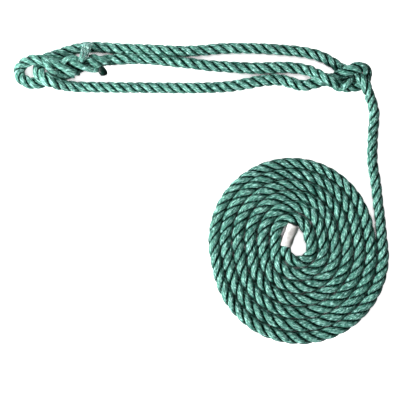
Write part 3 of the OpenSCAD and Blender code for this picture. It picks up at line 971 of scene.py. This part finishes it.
def melted_tip():
    """The melted lump at the end of a tuck."""
    line, along = spaced_spline([(-117.6, 141.6, 13.4), (-114.2, 140.8, 12.6),
                                 (-111.8, 138.4, 10.8), (-110.8, 135.0, 9.2)], 0.5)
    share = (along / along[-1])[:, None]
    radius = np.interp(share, [0, 0.08, 0.35, 0.7, 0.9, 0.97, 1.0],
                       [2.2, 3.4, 4.5, 4.6, 3.9, 3.0, 1.6])
    angle = ring_angles(28)
    ripple = (1 + 0.08 * np.cos(5 * angle[None, :] + 2 * share)
              + 0.05 * np.cos(9 * angle[None, :] - 5 * share))
    reach = radius * ripple
    grid = sweep(line, steady_frames(line), reach * np.cos(angle), reach * np.sin(angle))
    tubes = Tubes()
    tubes.tube(grid, np.zeros(reach.shape), np.full(reach.shape, 0.5), along, girth=10.0)
    settle(tubes.build("melted_tip", MELTED), "melted_end", "eye_end", "sealed_tip")


def end_tape():
    """The tape: a wrapped sheet with an overlap step and soft wrinkles."""
    tape_r, thickness = 6.55, 0.35
    first = len(dist) - 1 - int((TAIL_LENGTH + 3.0) / RING_STEP)
    line = resample(np.vstack([path[first:], path[-1] + tangents(path)[-1] * 0.5]), 0.45)
    frames = steady_frames(line)
    rings, around = len(line), 96
    angle = ring_angles(around)
    turn = angle[None, :]
    share = np.linspace(0, 1, rings)[:, None]
    wrinkles = (0.34 * np.cos(2 * turn + 2.0 + 3 * share) + 0.16 * np.cos(5 * turn - 9 * share)
                + 0.26 * np.sin(13 * share + 2 * np.cos(turn))
                + 0.30 * np.exp(-((share - 0.96) / 0.08) ** 2) * np.cos(3 * turn + 0.6))
    overlap = np.where((angle > 1.1) & (angle < 1.1 + 2.4), 0.28, 0.0)
    overlap = np.convolve(np.r_[overlap[-2:], overlap, overlap[:2]],
                          [0.1, 0.2, 0.4, 0.2, 0.1], mode="valid")
    outer = tape_r + overlap[None, :] + 0.8 * wrinkles
    walls = []
    for reach, floor_gap in ((outer, 0.01), (outer - thickness, 0.2)):
        reach = reach * superellipse(angle, 2.7)
        wall = sweep(line, frames, reach * np.cos(angle), reach * np.sin(angle))
        wall[..., 2] = np.maximum(wall[..., 2], floor_gap)
        walls.append(wall.reshape(-1, 3))
    inner = rings * around      # index of the inner wall's first point
    end = (rings - 1) * around  # index of the last ring's first point
    faces = []
    for i in range(rings - 1):
        here, after = i * around, (i + 1) * around
        for j in range(around):
            k = (j + 1) % around
            faces.append((here + j, here + k, after + k, after + j))
            faces.append((inner + here + k, inner + here + j,
                          inner + after + j, inner + after + k))
    for j in range(around):
        k = (j + 1) % around
        faces.append((k, j, inner + j, inner + k))
        faces.append((end + j, end + k, inner + end + k, inner + end + j))
    mesh = bpy.data.meshes.new("end_tape")
    mesh.from_pydata([tuple(v / 1000.0) for v in np.vstack(walls)], [], faces)
    mesh.validate()
    mesh.polygons.foreach_set("use_smooth", np.ones(len(mesh.polygons), bool))
    settle(add_object("end_tape", mesh, TAPE), "tape", "free_end", "whipping_tape")


melted_tip()
end_tape()

# ------------------------------------------------------------------ stage, in metres
floor_mesh = bpy.data.meshes.new("floor")
floor_mesh.from_pydata([(-3, -3, 0), (3, -3, 0), (3, 3, 0), (-3, 3, 0)], [], [(0, 1, 2, 3)])
add_object("floor", floor_mesh, floor_material())

scene = bpy.context.scene
scene.view_settings.view_transform = "Standard"
world = bpy.data.worlds.new("w")
scene.world = world
world.use_nodes = True
background = world.node_tree.nodes["Background"]
background.inputs["Color"].default_value = (1, 1, 1, 1)
background.inputs["Strength"].default_value = 0.07


def area_light(name, place, side, power, target=(0, 0, 0)):
    """A square light turned toward its target."""
    light = bpy.data.lights.new(name, "AREA")
    light.shape = "RECTANGLE"
    light.size = light.size_y = side
    light.energy = power
    made = bpy.data.objects.new(name, light)
    scene.collection.objects.link(made)
    made.location = place
    aim = Vector(target) - Vector(place)
    made.rotation_euler = aim.to_track_quat("-Z", "Y").to_euler()


area_light("key", (-1.7, -0.95, 0.78), side=0.45, power=122)
area_light("fill", (0.9, 1.2, 1.6), side=1.2, power=2)
area_light("top", (-0.2, 0.5, 1.5), side=0.8, power=3)
area_light("back", (-0.28, 0.42, 0.34), side=0.25, power=2.8, target=(0.0, 0.14, 0.0))

LENS, SENSOR = 100, 36      # millimetres
VIEW_WIDTH = 0.46           # seen at the height of the rope's centre line
camera = bpy.data.cameras.new("cam")
camera.lens = LENS
camera.sensor_width = SENSOR
camera.clip_end = 20
camera_object = bpy.data.objects.new("cam", camera)
scene.collection.objects.link(camera_object)
camera_object.location = (-0.00113, -0.00796, 0.006 + VIEW_WIDTH * LENS / SENSOR)
scene.camera = camera_object
